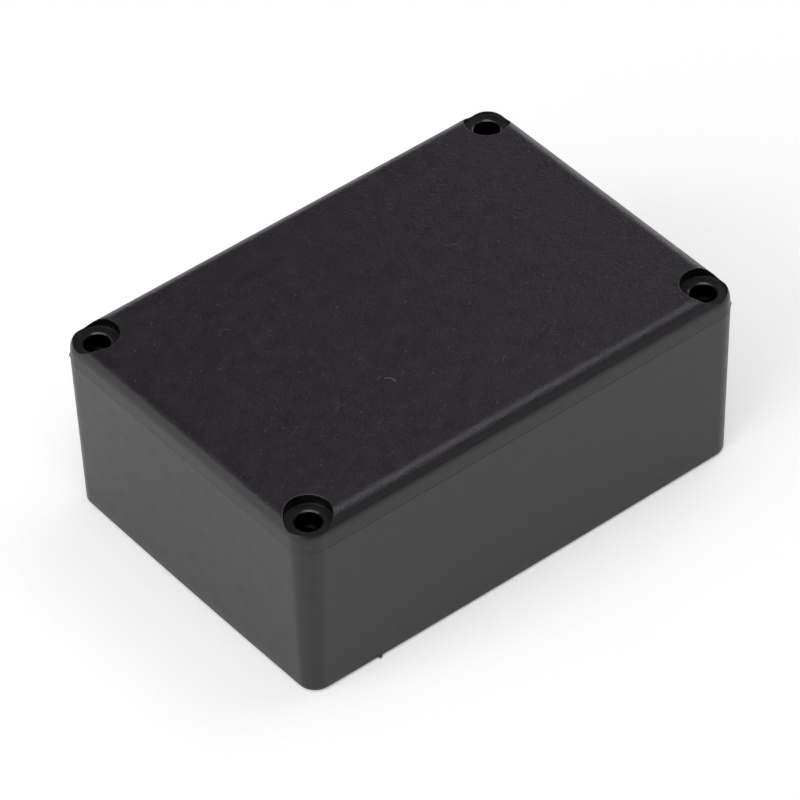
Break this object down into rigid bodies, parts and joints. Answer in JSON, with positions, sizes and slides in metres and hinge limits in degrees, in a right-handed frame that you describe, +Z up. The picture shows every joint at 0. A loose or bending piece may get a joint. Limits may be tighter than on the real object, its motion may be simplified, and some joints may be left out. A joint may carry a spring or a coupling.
{
  "type": "plastic project box",
  "caption": "Small black rectangular electronics box: tapered base with corner screw posts and board standoffs, lapped lid with rolled edges and recessed corner screw holes.",
  "frame": {"origin": "centre of the underside of the base, where the box stands", "axes": "+X along the length, +Y across the width, +Z up through the lid"},
  "size_m": [0.05, 0.035, 0.02],
  "materials": {
    "base_plastic": "smooth satin moulding, black",
    "lid_plastic": "fine spark-eroded grain on the top and its rolled edge, satin on the sides, black"
  },
  "bodies": {
    "root": {"base": "base_plastic", "lid": "lid_plastic"}
  },
  "joints": []
}
